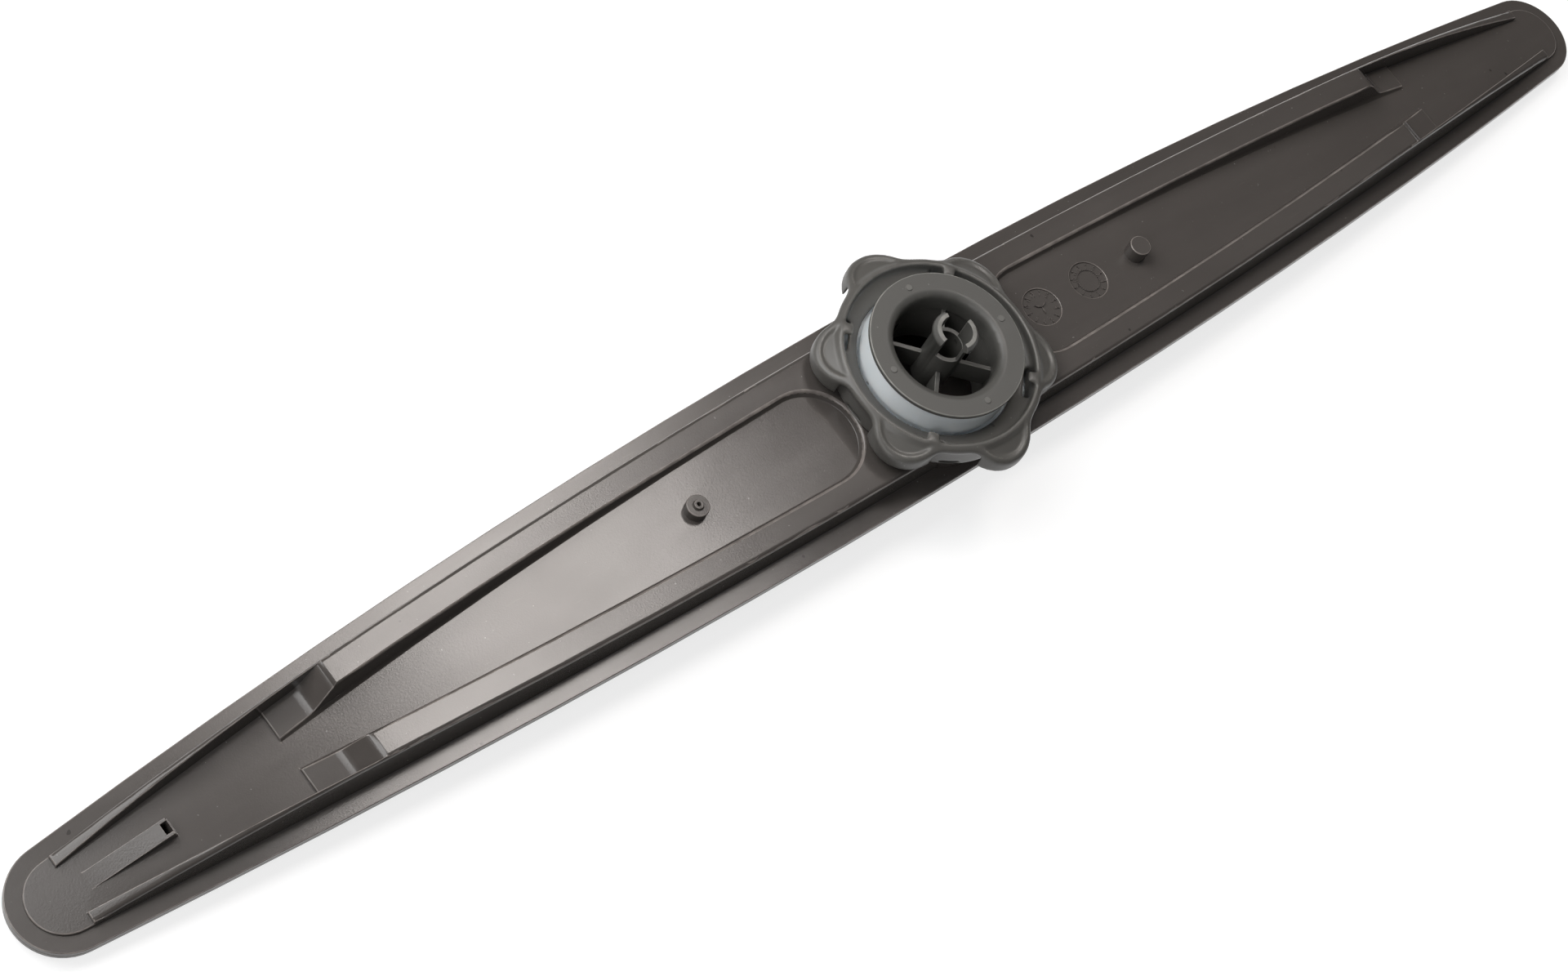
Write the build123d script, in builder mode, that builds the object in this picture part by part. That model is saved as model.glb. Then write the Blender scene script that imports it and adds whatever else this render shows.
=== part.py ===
"""Dishwasher spray arm with its hub: two welded shells, slide bush, inlet collar and grip ring.

Millimetres, +Z up on the hub side, X along the arm, origin under the hub axis on the table.
"""

import math
import os

from build123d import *

os.makedirs("parts", exist_ok=True)

# Arm outline and bow
ARM_LENGTH = 460.0
ARM_HALF_WIDTH = 22.2
SIDE_RADIUS = 2222.0
RIM_Z = 13.0
RIM_BOW = 8.5
RIM_THICK = 1.2
WALL = 2.0
OVERRUN = 4.0

# Raised duct of the hub-side shell, heights above the rim at the hub
DUCT_INSET = 3.3
DUCT_DRAFT = 6.0
RAIL_HEIGHT = 6.5
RAIL_DROP = 1.2
RAIL_FLAT = 140.0
RIDGE_END = 217.5
RIDGE_END_HEIGHT = -5.6
CROWN_ROUND = 1.0

# Sunk panel between the rails
PANEL_MID = 4.9
PANEL_TIP = -7.6
PANEL_TIP_X = 226.0
PANEL_INSET = 10.6
PANEL_DRAFT = 10.0
PANEL_EASE = 0.5
RAIL_EASE = 0.5
RAMP_ROUND = 4.0
BROW_LIFT = 0.1
BROW_REACH = 6.0
BRINK_GAP = 0.1
BRINK_SPAN = 1.0
PANEL_END_X = 34.0
RIDGE_INSET = 5.1
RIDGE_DRAFT = 5.0
RAMP_TOP_X = 155.0
RAMP_FOOT_X = 160.0
RAMP_FOOT_HEIGHT = -0.2
LANDING_X = 168.3
LANDING_HEIGHT = -1.2

# Small features on the panels
BOSS_X = 66.4
BOSS_R = 2.6
BOSS_HEIGHT = 2.3
NIPPLE_R = 1.3
NIPPLE_RISE = 0.7
PINHOLE_R = 0.5
PEG_R = 2.5
PEG_HEIGHT = 3.8
CLOCK_R = 4.7
CLOCK_X = (36.0, 51.1)
CLOCK_DEPTH = 0.4
JET_START_X = 214.0
JET_END_X = 196.2
JET_HALF = 1.9
JET_RISE = 2.9
JET_LEAN = 1.8
JET_SLOT = (1.4, 2.4)

# Hub drum and slide bush
DECK_HEIGHT = 6.5
DRUM_R = 20.6
HUB_HOLE_R = 16.65
BUSH_BORE_R = 14.2
BUSH_SPIGOT_R = 16.6
BUSH_R = 17.4
BUSH_NECK_R = 16.9
BUSH_LOW = 1.8
BUSH_TOP = 16.7
BUSH_EASE = 0.5
BUSH_SKIRT = 10.4
FOOT_R = 21.9
FOOT_LOW = 7.1
FOOT_HIGH = 7.9
PEDESTAL_R = 19.5

# Inlet collar
COLLAR_TOP = 18.2
COLLAR_R = 17.75
COLLAR_LIP = 1.2
COLLAR_BORE_R = 11.8
COLLAR_STEP = 0.4
BORE_ROUND = 2.0
BORE_EASE = BORE_ROUND * (1 - math.sqrt(0.5))
RUN_CLEAR = 0.08
COLLAR_LOW = 0.3
SNAP_R = 15.4
SNAP_LAND = 0.4
SNAP_LEAD = 1.2
SNAP_SLIT = 2.0
SNAP_SLIT_DEEP = 7.0
SPOKE_TOP = 13.1
SPOKE_DEEP = 6.0
SPOKE_THICK = 1.0
SPOKE_ROOT = 0.6
SPOKE_TURN = 135.0
TUBE_R = 4.3
TUBE_BORE_R = 3.3
TUBE_LOW = 6.1
TUBE_TOP = 18.0
PRONG_TOP = 24.1
PRONG_R = 5.2
PRONG_SPAN = 110.0
PRONG_REACH = 4 * PRONG_R
PRONG_WING = PRONG_REACH * math.tan(math.radians(PRONG_SPAN / 2))
PRONG_RELIEF = 0.2
BARB_HEIGHT = 2.4
BARB_UNDER = 0.8
BARB_LAND = 0.6
BARB_LEAD = 0.7

# Grip ring
RING_LOBES = 6
VALLEY_WIDTH = 2.0
LOBE_R = 8.0
LOBE_CENTRE_R = 20.5
LOBE_BLEND = 6.0
RIM_TOP = 14.6
RIM_R = 22.0
LOBE_EDGE_TOP = 11.8
LIP_LOW = 8.2
LIP_THICK = 1.4
RING_WALL = 1.3
RING_LOW = 6.7
RING_BORE_R = 21.3
RUN_GAP = 0.3
LEDGE_GAP = 0.5
LEDGE_LOW = 9.2
LEDGE_HIGH = 10.6
LEDGE_RISE = 1.2
LEDGE_WALL = 12.2
NIB_COUNT = 4
NIB_WIDTH = 2.8
NIB_REACH = 2.0
NIB_ROOT = 0.8
NIB_THICK = 1.2
WINDOW_WIDTH = 7.6
WINDOW_DEEP = 1.7
WINDOW_TOP = 12.6
SIGHT_WIDTH = 5.0
FOOT_PLAY = 0.2
RING_VALLEY_R = RIM_R + VALLEY_WIDTH
RING_WALL_R = RIM_R + RING_WALL
LEDGE_R = BUSH_R + LEDGE_GAP
LOBE_FALL = (RIM_TOP - LOBE_EDGE_TOP) / (LOBE_CENTRE_R + LOBE_R - RIM_R)

# Spray-side shell
BELLY_INSET = 3.6
BELLY_DRAFT = 8.0
BELLY_FLAT_X = 165.0
BELLY_END_X = 222.0
JET_COUNT = 5
JET_FIRST_X = 46.0
JET_PITCH = 34.0
JET_SIDE = 6.0
JET_NARROW = 0.55
SPRAY_SLOT = (6.0, 2.0)
SPRAY_DISH = (10.0, 5.5)
DISH_DEPTH = 0.8

HALF = ARM_LENGTH / 2
END = HALF + OVERRUN


def sag(x, drop, reach):
    """Fall at station x of a circular arc that falls by drop over reach."""
    radius = (reach**2 + drop**2) / (2 * drop)
    return radius - math.sqrt(radius**2 - x**2)


def half_width(x):
    """Half width of the arm at station x."""
    return ARM_HALF_WIDTH - sag(x, SIDE_RADIUS - math.sqrt(SIDE_RADIUS**2 - HALF**2), HALF)


def rail_height(x):
    """Height of a rail's top at station x, past its flat stretch."""
    straight = RAIL_HEIGHT - RAIL_DROP * x / RAIL_FLAT
    droop = RAIL_HEIGHT - RAIL_DROP * RIDGE_END / RAIL_FLAT - RIDGE_END_HEIGHT
    return straight - droop * ((x - RAIL_FLAT) / (RIDGE_END - RAIL_FLAT)) ** 2


def panel_height(x):
    """Height of the panel floor above the rim line at station x."""
    return PANEL_MID - sag(x, PANEL_MID - PANEL_TIP, PANEL_TIP_X)


def rim_height(x):
    """Height of the bowed rim at station x."""
    return -sag(x, RIM_BOW, HALF)


# Plan of the arm: two long side arcs blended into round tips
TIP_R = (2 * SIDE_RADIUS * ARM_HALF_WIDTH - ARM_HALF_WIDTH**2 - HALF**2) / (2 * SIDE_RADIUS - ARM_LENGTH)
TIP_LEAN = math.asin((HALF - TIP_R) / (SIDE_RADIUS - TIP_R))
TIP_X = HALF - TIP_R + TIP_R * math.sin(TIP_LEAN)
TIP_Y = TIP_R * math.cos(TIP_LEAN)

with BuildSketch() as plan:
    with BuildLine():
        ThreePointArc((-TIP_X, TIP_Y), (0, ARM_HALF_WIDTH), (TIP_X, TIP_Y))
        ThreePointArc((TIP_X, TIP_Y), (HALF, 0), (TIP_X, -TIP_Y))
        ThreePointArc((TIP_X, -TIP_Y), (0, -ARM_HALF_WIDTH), (-TIP_X, -TIP_Y))
        ThreePointArc((-TIP_X, -TIP_Y), (-HALF, 0), (-TIP_X, TIP_Y))
    make_face()

# Side view plane of the arm, with its zero on the rim at the hub
SIDE = Plane((0, 0, RIM_Z), x_dir=(1, 0, 0), z_dir=(0, -1, 0))


def rim_slab(top, low):
    """Bowed slab under the rim line, full width, between two depths."""
    drop = rim_height(END)
    with BuildSketch(SIDE) as slab:
        with BuildLine():
            ThreePointArc((-END, top + drop), (0, top), (END, top + drop))
            Line((END, top + drop), (END, low + drop))
            ThreePointArc((END, low + drop), (0, low), (-END, low + drop))
            Line((-END, low + drop), (-END, top + drop))
        make_face()
    return slab.sketch


def duct_side(shrink, foot):
    """Side view of the raised duct, lowered by shrink and ending foot under the rim line."""
    ridge = RIDGE_END_HEIGHT - shrink
    with BuildSketch(SIDE) as duct:
        with BuildLine():
            Line((0, -foot), (0, RAIL_HEIGHT - shrink))
            rail = Line((0, RAIL_HEIGHT - shrink), (RAIL_FLAT, RAIL_HEIGHT - RAIL_DROP - shrink))
            TangentArc(rail @ 1, (RIDGE_END, ridge), tangent=rail % 1)
            Line((RIDGE_END, ridge), (END, ridge))
            Line((END, ridge), (END, rim_height(END) - foot))
            ThreePointArc((END, rim_height(END) - foot), (END / 2, rim_height(END / 2) - foot), (0, -foot))
        make_face()
        mirror(about=Plane.YZ)
    return duct.sketch


def panel_side(start, grow):
    """Side view of the space over one panel, from station start to past the tip."""
    middle = (start + END) / 2
    with BuildSketch(SIDE) as panel:
        with BuildLine():
            ThreePointArc(
                (start, panel_height(start) - grow),
                (middle, panel_height(middle) - grow),
                (END, panel_height(END) - grow),
            )
            Polyline(
                (END, panel_height(END) - grow),
                (END, RAIL_HEIGHT + OVERRUN),
                (start, RAIL_HEIGHT + OVERRUN),
                (start, panel_height(start) - grow),
            )
        make_face()
    return panel.sketch


def ramp_side(grow):
    """Side view of the space past a rail's end: ramp, landing, step and panel."""
    middle = (LANDING_X + RIDGE_END) / 2
    foot = (RAMP_FOOT_X - grow, RAMP_FOOT_HEIGHT - grow)
    brow = (RAMP_TOP_X - grow, rail_height(RAMP_TOP_X) + BROW_LIFT - grow)
    behind = (RAMP_TOP_X - grow - BROW_REACH, rail_height(RAMP_TOP_X - BROW_REACH) + BROW_LIFT - grow)
    with BuildSketch(SIDE) as ramp:
        with BuildLine():
            Polyline(
                (LANDING_X - grow, panel_height(LANDING_X) - grow),
                (LANDING_X - grow, LANDING_HEIGHT - grow),
                foot,
                brow,
                behind,
                (behind[0], RAIL_HEIGHT + OVERRUN),
                (RIDGE_END, RAIL_HEIGHT + OVERRUN),
                (RIDGE_END, panel_height(RIDGE_END) - grow),
            )
            ThreePointArc(
                (RIDGE_END, panel_height(RIDGE_END) - grow),
                (middle, panel_height(middle) - grow),
                (LANDING_X - grow, panel_height(LANDING_X) - grow),
            )
        make_face()
        for corner in (foot, brow):
            fillet(ramp.vertices().sort_by_distance((*corner, 0))[0], RAMP_ROUND)
    return ramp.sketch


def belly_side(shrink, depth):
    """Side view of the belly, raised by shrink from the table and ending depth under the rim line."""
    low = shrink - RIM_Z
    end = BELLY_END_X - shrink
    lip = rim_height(end) - 2 * RIM_THICK + shrink / 2
    with BuildSketch(SIDE) as belly:
        with BuildLine():
            Line((0, low), (BELLY_FLAT_X, low))
            Line((BELLY_FLAT_X, low), (end, lip))
            Line((end, lip), (end, rim_height(end) - depth))
            ThreePointArc(
                (end, rim_height(end) - depth),
                (end / 2, rim_height(end / 2) - depth),
                (0, -depth),
            )
            Line((0, -depth), (0, low))
        make_face()
        mirror(about=Plane.YZ)
    return belly.sketch


def recess(grow, foot_ease):
    """Both sunk panels with their ramps and open tips, grown by a wall for the inside."""
    base = Plane.XY.offset(RIM_Z + PANEL_TIP - OVERRUN)
    rise = RAIL_HEIGHT - PANEL_TIP + OVERRUN
    narrow = PANEL_INSET - grow + rise * math.tan(math.radians(PANEL_DRAFT))
    ridge = RIDGE_INSET - grow + rise * math.tan(math.radians(RIDGE_DRAFT))
    half = ARM_HALF_WIDTH - PANEL_END_X**2 / (2 * SIDE_RADIUS) - narrow
    with BuildPart() as cut:
        with BuildSketch(base):
            offset(plan.sketch, amount=-narrow)
            with Locations((HALF / 2 + PANEL_END_X, 0)):
                Rectangle(HALF, 4 * ARM_HALF_WIDTH, mode=Mode.INTERSECT)
            with Locations((PANEL_END_X, 0)):
                Circle(half)
        extrude(amount=rise + OVERRUN, taper=-PANEL_DRAFT)
        extrude(panel_side(0, grow), amount=2 * ARM_HALF_WIDTH, both=True, mode=Mode.INTERSECT)
        if foot_ease:
            floor = cut.faces().sort_by(Axis.Z)[0]
            chamfer(floor.edges().filter_by(lambda edge: abs((edge @ 0.5).X) < HALF), foot_ease)
        with BuildSketch(base):
            offset(plan.sketch, amount=-ridge)
        wide = extrude(amount=rise + OVERRUN, taper=-RIDGE_DRAFT, mode=Mode.PRIVATE)
        beyond = extrude(ramp_side(grow), amount=2 * ARM_HALF_WIDTH, both=True, mode=Mode.PRIVATE)
        add(wide & beyond)
        tip = extrude(panel_side(RIDGE_END, grow), amount=2 * ARM_HALF_WIDTH, both=True, mode=Mode.PRIVATE)
        add(tip)
        mirror(about=Plane.YZ)
    return cut.part


def lengthwise(edges, floor):
    """Edges that run along the arm with their middle more than floor above the rim line at the hub."""
    high = edges.filter_by(lambda edge: (edge @ 0.5).Z > RIM_Z + floor)
    return high.filter_by(lambda edge: abs((edge % 0.5).X) > 0.5)


def panel_brink(edges):
    """Edges where the sunk panels meet the rail tops and the hub deck."""
    high = edges.filter_by(lambda edge: (edge @ 0.5).Z > RIM_Z + PANEL_MID + BRINK_GAP)
    reach = PANEL_INSET - BRINK_SPAN
    return high.filter_by(lambda edge: abs((edge @ 0.5).Y) < half_width((edge @ 0.5).X) - reach)


def circles(piece, radius):
    """Round edges of a piece that have the given radius."""
    rounds = piece.edges().filter_by(GeomType.CIRCLE)
    return rounds.filter_by(lambda edge: abs(edge.radius - radius) < 0.01)


panel_space = recess(0, PANEL_EASE)
panel_core = recess(WALL, 0)

with BuildPart() as hub_shell:
    # Raised duct, drafted from the rim up and trimmed to its side view
    with BuildSketch(Plane.XY.offset(RIM_Z - RIM_BOW - RIM_THICK)):
        offset(plan.sketch, amount=-DUCT_INSET)
    extrude(amount=RAIL_HEIGHT + RIM_BOW + OVERRUN, taper=DUCT_DRAFT)
    extrude(duct_side(0, RIM_THICK / 2), amount=2 * ARM_HALF_WIDTH, both=True, mode=Mode.INTERSECT)
    fillet(lengthwise(hub_shell.edges(), 0), CROWN_ROUND)
    add(panel_space, mode=Mode.SUBTRACT)
    chamfer(panel_brink(hub_shell.edges(Select.LAST)), RAIL_EASE)
    # Bowed weld rim
    sheet = extrude(plan.sketch, amount=3 * RIM_Z, mode=Mode.PRIVATE)
    slab = extrude(rim_slab(0, -RIM_THICK), amount=2 * ARM_HALF_WIDTH, both=True, mode=Mode.PRIVATE)
    add(sheet & slab)
    # Hub drum
    with BuildSketch(Plane.XY.offset(RIM_Z - RIM_THICK)):
        Circle(DRUM_R)
    extrude(amount=DECK_HEIGHT + RIM_THICK)
    # Inside of the duct, a wall in from the outside
    with BuildSketch(Plane.XY.offset(RIM_Z - RIM_BOW - RIM_THICK)):
        offset(plan.sketch, amount=-DUCT_INSET - WALL)
    inside = extrude(amount=RAIL_HEIGHT + RIM_BOW + OVERRUN, taper=DUCT_DRAFT, mode=Mode.PRIVATE)
    under = extrude(duct_side(WALL, 2 * RIM_THICK), amount=2 * ARM_HALF_WIDTH, both=True, mode=Mode.PRIVATE)
    add((inside & under) - panel_core, mode=Mode.SUBTRACT)
    # Hole for the slide bush
    with BuildSketch(Plane.XY.offset(RIM_Z - 2 * RIM_THICK)):
        Circle(HUB_HOLE_R)
    extrude(amount=DECK_HEIGHT + OVERRUN, mode=Mode.SUBTRACT)
    # Nipple boss and peg, one on each panel
    with BuildSketch(Plane.XY.offset(RIM_Z + panel_height(BOSS_X) - WALL / 2)):
        with Locations((-BOSS_X, 0)):
            Circle(BOSS_R)
    extrude(amount=BOSS_HEIGHT + WALL / 2)
    with BuildSketch(Plane.XY.offset(RIM_Z + panel_height(BOSS_X) + BOSS_HEIGHT)):
        with Locations((-BOSS_X, 0)):
            Circle(NIPPLE_R)
    extrude(amount=NIPPLE_RISE, taper=20)
    with BuildSketch(Plane.XY.offset(RIM_Z + panel_height(BOSS_X) - 2 * WALL)):
        with Locations((-BOSS_X, 0)):
            Circle(PINHOLE_R)
    extrude(amount=BOSS_HEIGHT + 3 * WALL, mode=Mode.SUBTRACT)
    with BuildSketch(Plane.XY.offset(RIM_Z + panel_height(BOSS_X) - WALL / 2)):
        with Locations((BOSS_X, 0)):
            Circle(PEG_R)
    extrude(amount=PEG_HEIGHT + WALL / 2)
    # Date-clock discs, sunk a little into the panel
    for clock_x in CLOCK_X:
        with BuildSketch(Plane.XY.offset(RIM_Z + panel_height(clock_x) - CLOCK_DEPTH)):
            with Locations((clock_x, 0)):
                Circle(CLOCK_R)
        extrude(amount=WALL, mode=Mode.SUBTRACT)
    # Drive-jet wedge near one tip, with its outlet at the high end
    with BuildSketch(SIDE):
        with BuildLine():
            Polyline(
                (-JET_START_X, panel_height(JET_START_X)),
                (-JET_END_X, panel_height(JET_END_X) + JET_RISE),
                (-JET_END_X + JET_LEAN, panel_height(JET_END_X) - WALL / 2),
                (-JET_START_X, panel_height(JET_START_X) - WALL / 2),
                close=True,
            )
        make_face()
    extrude(amount=JET_HALF, both=True)
    with BuildSketch(Plane.XY.offset(RIM_Z + panel_height(JET_END_X) - 2 * WALL)):
        with Locations((-JET_END_X - JET_SLOT[0] / 2, 0)):
            Rectangle(*JET_SLOT)
    extrude(amount=JET_RISE + 3 * WALL, mode=Mode.SUBTRACT)

hub_shell.part.label = "hub_shell"
export_step(hub_shell.part, "parts/hub_shell.step")

with BuildPart() as nozzle_shell:
    # Belly of the duct, flat on the table and rising to the tips
    with BuildSketch(Plane.XY):
        offset(plan.sketch, amount=-BELLY_INSET - RIM_Z * math.tan(math.radians(BELLY_DRAFT)))
    extrude(amount=RIM_Z, taper=-BELLY_DRAFT)
    extrude(belly_side(0, 1.5 * RIM_THICK), amount=2 * ARM_HALF_WIDTH, both=True, mode=Mode.INTERSECT)
    # Bowed weld rim
    sheet = extrude(plan.sketch, amount=3 * RIM_Z, mode=Mode.PRIVATE)
    band = rim_slab(-RIM_THICK, -2 * RIM_THICK)
    slab = extrude(band, amount=2 * ARM_HALF_WIDTH, both=True, mode=Mode.PRIVATE)
    add(sheet & slab)
    # Water way
    with BuildSketch(Plane.XY):
        offset(plan.sketch, amount=-BELLY_INSET - WALL - RIM_Z * math.tan(math.radians(BELLY_DRAFT)))
    inside = extrude(amount=RIM_Z, taper=-BELLY_DRAFT, mode=Mode.PRIVATE)
    above = extrude(belly_side(WALL, 0), amount=2 * ARM_HALF_WIDTH, both=True, mode=Mode.PRIVATE)
    add(inside & above, mode=Mode.SUBTRACT)
    # Spray jets: a shallow dish with a slot through the floor, staggered along both halves
    for index in range(JET_COUNT):
        jet_x = JET_FIRST_X + index * JET_PITCH
        jet_y = JET_SIDE if index % 2 else -JET_SIDE
        jet_y = jet_y * (1 - JET_NARROW * index / JET_COUNT)
        with BuildSketch(Plane.XY):
            with Locations((jet_x, jet_y), (-jet_x, -jet_y)):
                SlotOverall(*SPRAY_DISH, rotation=90)
        extrude(amount=DISH_DEPTH, mode=Mode.SUBTRACT)
        with BuildSketch(Plane.XY):
            with Locations((jet_x, jet_y), (-jet_x, -jet_y)):
                Rectangle(*SPRAY_SLOT, rotation=90)
        extrude(amount=3 * WALL, mode=Mode.SUBTRACT)

nozzle_shell.part.label = "nozzle_shell"
export_step(nozzle_shell.part, "parts/nozzle_shell.step")

with BuildPart() as bearing_ring:
    with BuildSketch(SIDE) as bush_profile:
        with BuildLine():
            Polyline(
                (BUSH_BORE_R, BUSH_LOW),
                (BUSH_SPIGOT_R, BUSH_LOW),
                (BUSH_SPIGOT_R, DECK_HEIGHT),
                (PEDESTAL_R, DECK_HEIGHT),
                (PEDESTAL_R, FOOT_LOW),
                (FOOT_R, FOOT_LOW),
                (FOOT_R, FOOT_HIGH),
                (BUSH_NECK_R, FOOT_HIGH),
                (BUSH_NECK_R, BUSH_SKIRT),
                (BUSH_R, BUSH_SKIRT),
                (BUSH_R, BUSH_TOP),
                (BUSH_BORE_R, BUSH_TOP),
                close=True,
            )
        make_face()
    revolve(axis=Axis.Z)
    chamfer(circles(bearing_ring, BUSH_R).sort_by(Axis.Z)[-1], BUSH_EASE)

bearing_ring.part.label = "bearing_ring"
export_step(bearing_ring.part, "parts/bearing_ring.step")

with BuildPart() as hub_collar:
    # Flange and spigot, with a snap bead below the slide bush
    with BuildSketch(SIDE):
        with BuildLine():
            Polyline(
                (COLLAR_BORE_R + COLLAR_STEP, COLLAR_LOW),
                (SNAP_R - SNAP_LEAD, COLLAR_LOW),
                (SNAP_R, BUSH_LOW - RUN_GAP - SNAP_LAND),
                (SNAP_R, BUSH_LOW - RUN_GAP),
                (BUSH_BORE_R - RUN_CLEAR, BUSH_LOW - RUN_GAP),
                (BUSH_BORE_R - RUN_CLEAR, COLLAR_TOP - COLLAR_LIP),
                (COLLAR_R, COLLAR_TOP - COLLAR_LIP),
                (COLLAR_R, COLLAR_TOP),
                (COLLAR_BORE_R + BORE_ROUND, COLLAR_TOP),
                (COLLAR_BORE_R + BORE_EASE, COLLAR_TOP - BORE_EASE),
                (COLLAR_BORE_R, COLLAR_TOP - BORE_ROUND),
                (COLLAR_BORE_R, SPOKE_TOP),
                (COLLAR_BORE_R + COLLAR_STEP, SPOKE_TOP),
                close=True,
            )
        make_face()
    revolve(axis=Axis.Z)
    # Four slits let the snap bead spring in
    with BuildSketch(Plane.XY.offset(RIM_Z + COLLAR_LOW)):
        with PolarLocations(BUSH_BORE_R, 4):
            Rectangle(2 * (SNAP_R - COLLAR_BORE_R), SNAP_SLIT)
    extrude(amount=SNAP_SLIT_DEEP, mode=Mode.SUBTRACT)
    # Spider
    with BuildSketch(Plane.XY.offset(RIM_Z + SPOKE_TOP - SPOKE_DEEP)):
        with PolarLocations((TUBE_R + COLLAR_BORE_R + COLLAR_STEP) / 2, 4, start_angle=SPOKE_TURN):
            Rectangle(COLLAR_BORE_R + COLLAR_STEP - TUBE_R + 2 * SPOKE_ROOT, SPOKE_THICK)
    extrude(amount=SPOKE_DEEP)
    # Snap tube with two barbed prongs
    with BuildSketch(SIDE):
        with BuildLine():
            Polyline(
                (TUBE_BORE_R, TUBE_LOW),
                (TUBE_R, TUBE_LOW),
                (TUBE_R, PRONG_TOP - BARB_HEIGHT),
                (PRONG_R, PRONG_TOP - BARB_HEIGHT + BARB_UNDER),
                (PRONG_R, PRONG_TOP - BARB_HEIGHT + BARB_UNDER + BARB_LAND),
                (PRONG_R - BARB_LEAD, PRONG_TOP),
                (TUBE_BORE_R + PRONG_RELIEF, PRONG_TOP),
                (TUBE_BORE_R + PRONG_RELIEF, TUBE_TOP),
                (TUBE_BORE_R, TUBE_TOP),
                close=True,
            )
        make_face()
    tube = revolve(axis=Axis.Z, mode=Mode.PRIVATE)
    with BuildSketch(Plane.XY.offset(RIM_Z + TUBE_TOP)):
        Circle(2 * PRONG_R)
        with PolarLocations(0, 2, start_angle=SPOKE_TURN):
            Polygon((0, 0), (PRONG_REACH, -PRONG_WING), (PRONG_REACH, PRONG_WING), align=None, mode=Mode.SUBTRACT)
    gaps = extrude(amount=2 * PRONG_TOP, mode=Mode.PRIVATE)
    add(tube - gaps)

hub_collar.part.label = "hub_collar"
export_step(hub_collar.part, "parts/hub_collar.step")

with BuildPart() as grip_ring:
    # Scalloped cap under a shallow cone
    with BuildSketch(Plane.XY.offset(RIM_Z + LIP_LOW)) as scallop:
        Circle(RING_VALLEY_R)
        with PolarLocations(LOBE_CENTRE_R, RING_LOBES, start_angle=180 / RING_LOBES):
            Circle(LOBE_R)
        fillet(scallop.vertices(), LOBE_BLEND)
    extrude(amount=RIM_TOP - LIP_LOW)
    with BuildSketch(SIDE):
        with BuildLine():
            Polyline(
                (0, LIP_LOW),
                (0, RIM_TOP),
                (RIM_R, RIM_TOP),
                (LOBE_CENTRE_R + LOBE_R, LOBE_EDGE_TOP),
                (LOBE_CENTRE_R + LOBE_R + OVERRUN, LOBE_EDGE_TOP - OVERRUN * LOBE_FALL),
                (LOBE_CENTRE_R + LOBE_R + OVERRUN, LIP_LOW),
                close=True,
            )
        make_face()
    revolve(axis=Axis.Z, mode=Mode.INTERSECT)
    # Hollow behind the lips, open in the valleys
    with BuildSketch(Plane.XY.offset(RIM_Z + LIP_LOW)):
        offset(scallop.sketch, amount=-LIP_THICK)
        Circle(RING_VALLEY_R + LIP_THICK / 2)
        Circle((RIM_R + RING_WALL_R) / 2, mode=Mode.SUBTRACT)
    pocket = extrude(amount=RIM_TOP - LIP_LOW, mode=Mode.PRIVATE)
    with BuildSketch(SIDE):
        with BuildLine():
            Polyline(
                (RIM_R, LIP_LOW),
                (RIM_R, RIM_TOP - LIP_THICK),
                (LOBE_CENTRE_R + LOBE_R, LOBE_EDGE_TOP - LIP_THICK),
                (LOBE_CENTRE_R + LOBE_R, LIP_LOW),
                close=True,
            )
        make_face()
    below = revolve(axis=Axis.Z, mode=Mode.PRIVATE)
    add(pocket & below, mode=Mode.SUBTRACT)
    # Wall, dished ledge and the groove that runs on the foot of the slide bush
    with BuildSketch(Plane.XY.offset(RIM_Z + RING_LOW)):
        Circle(RIM_R)
    extrude(amount=RIM_TOP, mode=Mode.SUBTRACT)
    with BuildSketch(SIDE):
        with BuildLine():
            Polyline(
                (RING_BORE_R, RING_LOW),
                (RING_WALL_R, RING_LOW),
                (RING_WALL_R, RIM_TOP - LIP_THICK),
                (RIM_R, RIM_TOP - LIP_THICK / 2),
                (RIM_R, LEDGE_WALL),
                (LEDGE_R, LEDGE_HIGH),
                (LEDGE_R, LEDGE_LOW),
                (RING_BORE_R, LEDGE_LOW + LEDGE_RISE),
                (RING_BORE_R, FOOT_HIGH + FOOT_PLAY),
                (FOOT_R + RUN_GAP, FOOT_HIGH + FOOT_PLAY),
                (FOOT_R + RUN_GAP, FOOT_LOW - FOOT_PLAY / 2),
                (RING_BORE_R, FOOT_LOW - FOOT_PLAY / 2),
                close=True,
            )
        make_face()
    revolve(axis=Axis.Z)
    # Bayonet nibs, each over a mould window in the ledge
    with BuildSketch(Plane.XY.offset(RIM_Z + LEDGE_LOW)):
        with PolarLocations(RIM_R - WINDOW_DEEP / 2, NIB_COUNT, start_angle=45):
            Rectangle(WINDOW_DEEP, WINDOW_WIDTH)
    extrude(amount=WINDOW_TOP - LEDGE_LOW, mode=Mode.SUBTRACT)
    with BuildSketch(Plane.XY.offset(RIM_Z + RIM_TOP - NIB_THICK)):
        with PolarLocations(RIM_R + (NIB_ROOT - NIB_REACH) / 2, NIB_COUNT, start_angle=45):
            Rectangle(NIB_REACH + NIB_ROOT, NIB_WIDTH)
    extrude(amount=NIB_THICK)
    # Slots in the valleys that show the foot of the slide bush
    with BuildSketch(Plane.XY.offset(RIM_Z + FOOT_LOW)):
        with PolarLocations(RING_WALL_R, RING_LOBES):
            Rectangle(2 * (RING_WALL_R - RING_BORE_R), SIGHT_WIDTH)
    extrude(amount=FOOT_HIGH - FOOT_LOW, mode=Mode.SUBTRACT)

grip_ring.part.label = "grip_ring"
export_step(grip_ring.part, "parts/grip_ring.step")
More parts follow.
